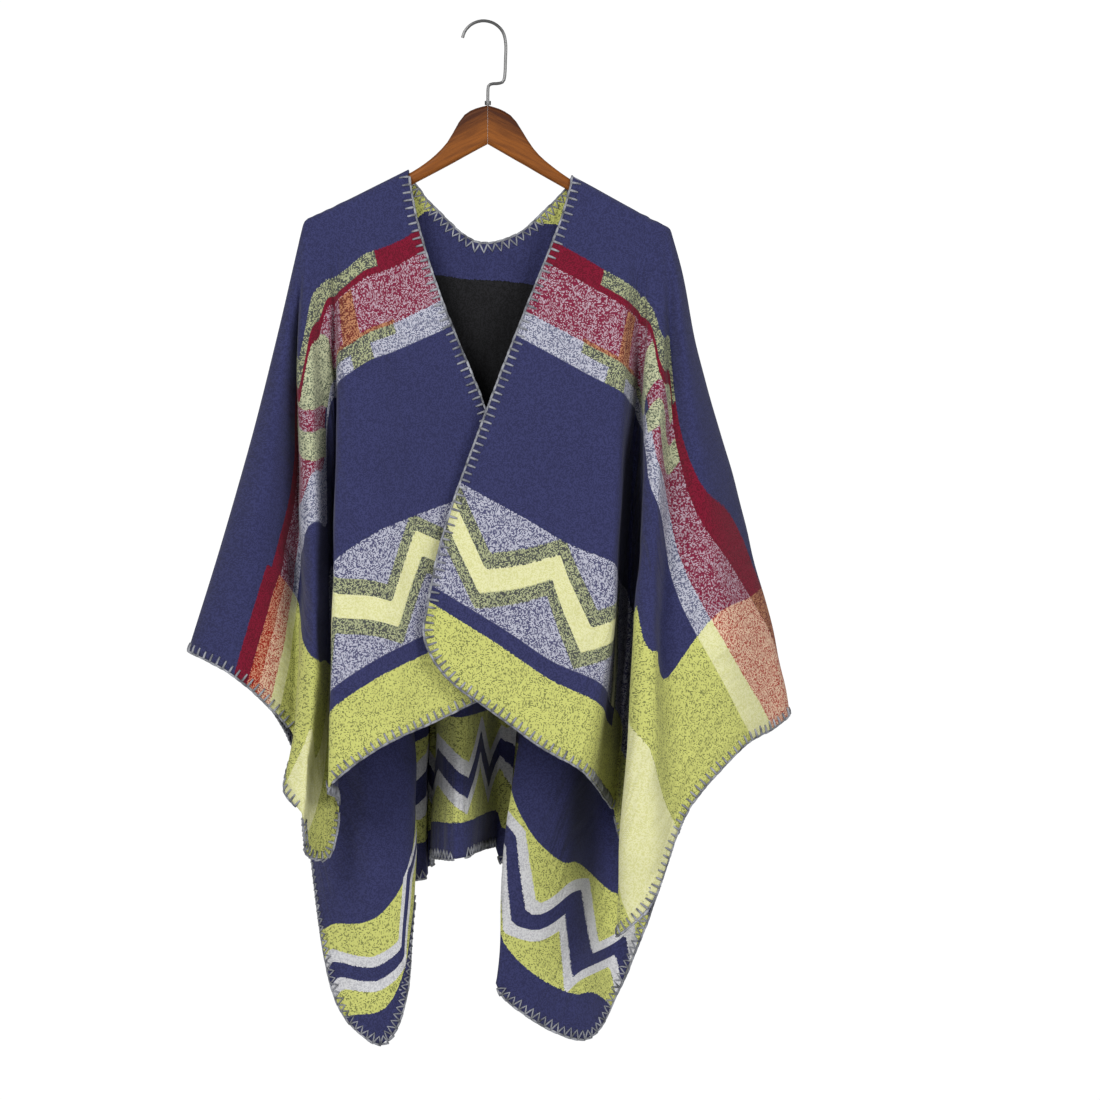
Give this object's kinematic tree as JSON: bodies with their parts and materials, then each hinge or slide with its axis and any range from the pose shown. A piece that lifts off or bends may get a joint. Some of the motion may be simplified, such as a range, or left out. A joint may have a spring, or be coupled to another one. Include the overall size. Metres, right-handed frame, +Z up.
{
  "type": "ruana on a hanger",
  "caption": "Open-front ruana in a woven blanket cloth, folded over a wooden hanger with a steel hook and draped in deep side folds.",
  "frame": {"origin": "inside top of the hook, where a rail carries the hanger", "axes": "+Z up, -Y towards the front of the garment, +X to the right as seen from the front"},
  "size_m": [0.6586, 0.2674, 1.1126],
  "materials": {
    "cloth": "matte woven",
    "wood": "stained and varnished",
    "steel": "polished"
  },
  "bodies": {
    "root": {"front_right": "cloth", "front_left": "cloth", "back": "cloth", "arm_left": "wood", "arm_right": "wood", "ferrule": "steel", "hook": "steel"}
  },
  "joints": []
}
